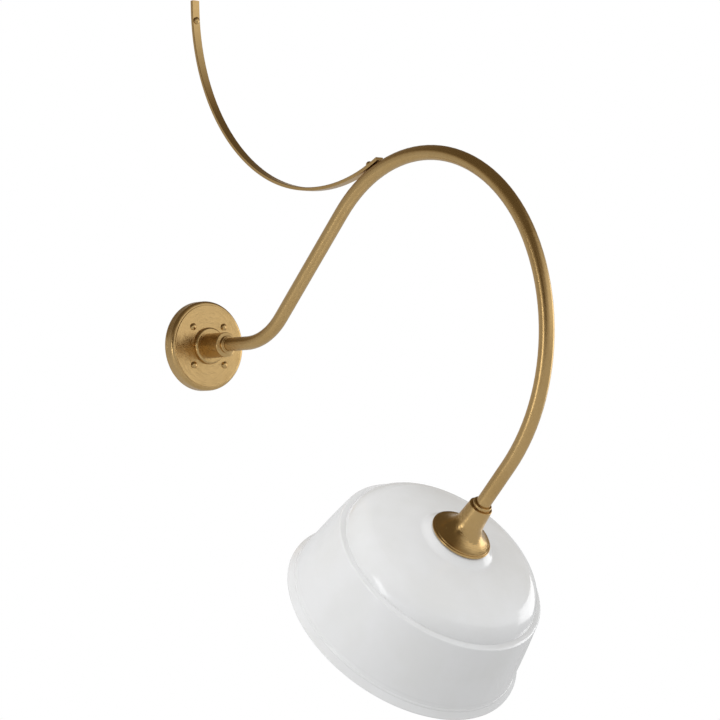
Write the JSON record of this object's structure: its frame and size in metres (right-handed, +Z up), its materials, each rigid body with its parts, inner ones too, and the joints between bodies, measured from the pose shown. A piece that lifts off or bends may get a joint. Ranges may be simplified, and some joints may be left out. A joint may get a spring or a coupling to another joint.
{
  "type": "gooseneck wall sconce",
  "caption": "Brass wall light with a round wall plate, an arched tube arm held by a curved flat bar stay, and a white spun metal shade that hangs at 45 degrees from a bell.",
  "frame": {"origin": "centre of the wall plate's back, on the wall plane and midway between the two wall box screw holes", "axes": "+Y points into the wall, so the lamp stands out along -Y; +Z is up; +X is to the right of someone who faces the wall"},
  "size_m": [0.328, 0.6935, 0.9765],
  "materials": {
    "satin_brass": "satin brushed",
    "white_enamel": "gloss",
    "zinc_steel": "zinc plated",
    "black_foam": "matt foam",
    "porcelain": "glazed",
    "black_phenolic": "matt",
    "contact_brass": "bare",
    "opal_glass": "opal",
    "cap_aluminium": "plain",
    "wire_black": "satin",
    "wire_white": "satin",
    "wire_green": "satin",
    "connector_orange": "matt"
  },
  "bodies": {
    "fixture": {"arm_end_bush": "contact_brass", "arm_tube": "satin_brass", "backplate": "satin_brass", "backplate_gasket": "black_foam", "backplate_screws": "satin_brass", "bell_holder": "satin_brass", "bracket_posts": "contact_brass", "centre_contact": "contact_brass", "ground_lug": "contact_brass", "ground_screw": "wire_green", "ground_wire": "wire_green", "hub_base_ring": "satin_brass", "hub_body": "satin_brass", "hub_collar": "satin_brass", "hub_locknut": "zinc_steel", "hub_lockwasher": "zinc_steel", "hub_set_screw": "zinc_steel", "lampholder_body": "porcelain", "lampholder_cap": "black_phenolic", "live_wire": "wire_black", "mounting_bracket": "zinc_steel", "neck_ring": "satin_brass", "neutral_wire": "wire_white", "nipple": "zinc_steel", "nipple_nut": "zinc_steel", "screw_shell": "contact_brass", "strap": "satin_brass", "strap_arm_screw": "satin_brass", "strap_arm_washer": "satin_brass", "strap_thread_insert": "zinc_steel", "strap_wall_screw": "satin_brass", "terminal_plates": "contact_brass", "terminal_screws": "contact_brass", "wire_connectors": "connector_orange"},
    "shade": {"shade": "white_enamel"},
    "shade_ring": {"shade_ring": "black_phenolic"},
    "lamp_tip": {"bulb_tip": "cap_aluminium"},
    "lamp": {"bulb_glass": "opal_glass", "bulb_base": "cap_aluminium"}
  },
  "joints": [
    {"name": "shade_drop", "type": "slide", "parent": "fixture", "child": "shade", "axis": [0, 0.7071, -0.7071], "range_m": [0, 0.012]},
    {"name": "ring_turn", "type": "hinge", "parent": "shade", "child": "shade_ring", "pos_m": [0, -0.54954, -0.23081], "axis": [0, 0.7071, -0.7071], "range_deg": [0, 2165]},
    {"name": "lamp_slide", "type": "slide", "parent": "fixture", "child": "lamp_tip", "axis": [0, 0.7071, -0.7071], "range_m": [0, 0.022]},
    {"name": "lamp_turn", "type": "hinge", "parent": "lamp_tip", "child": "lamp", "pos_m": [0, -0.54954, -0.23081], "axis": [0, 0.7071, -0.7071], "range_deg": [0, 2190]}
  ],
  "couplings": [
    {"joint": "ring_turn", "follows": "shade_drop", "rad_per_m": 3141.6},
    {"joint": "lamp_turn", "follows": "lamp_slide", "rad_per_m": 1731.4}
  ]
}
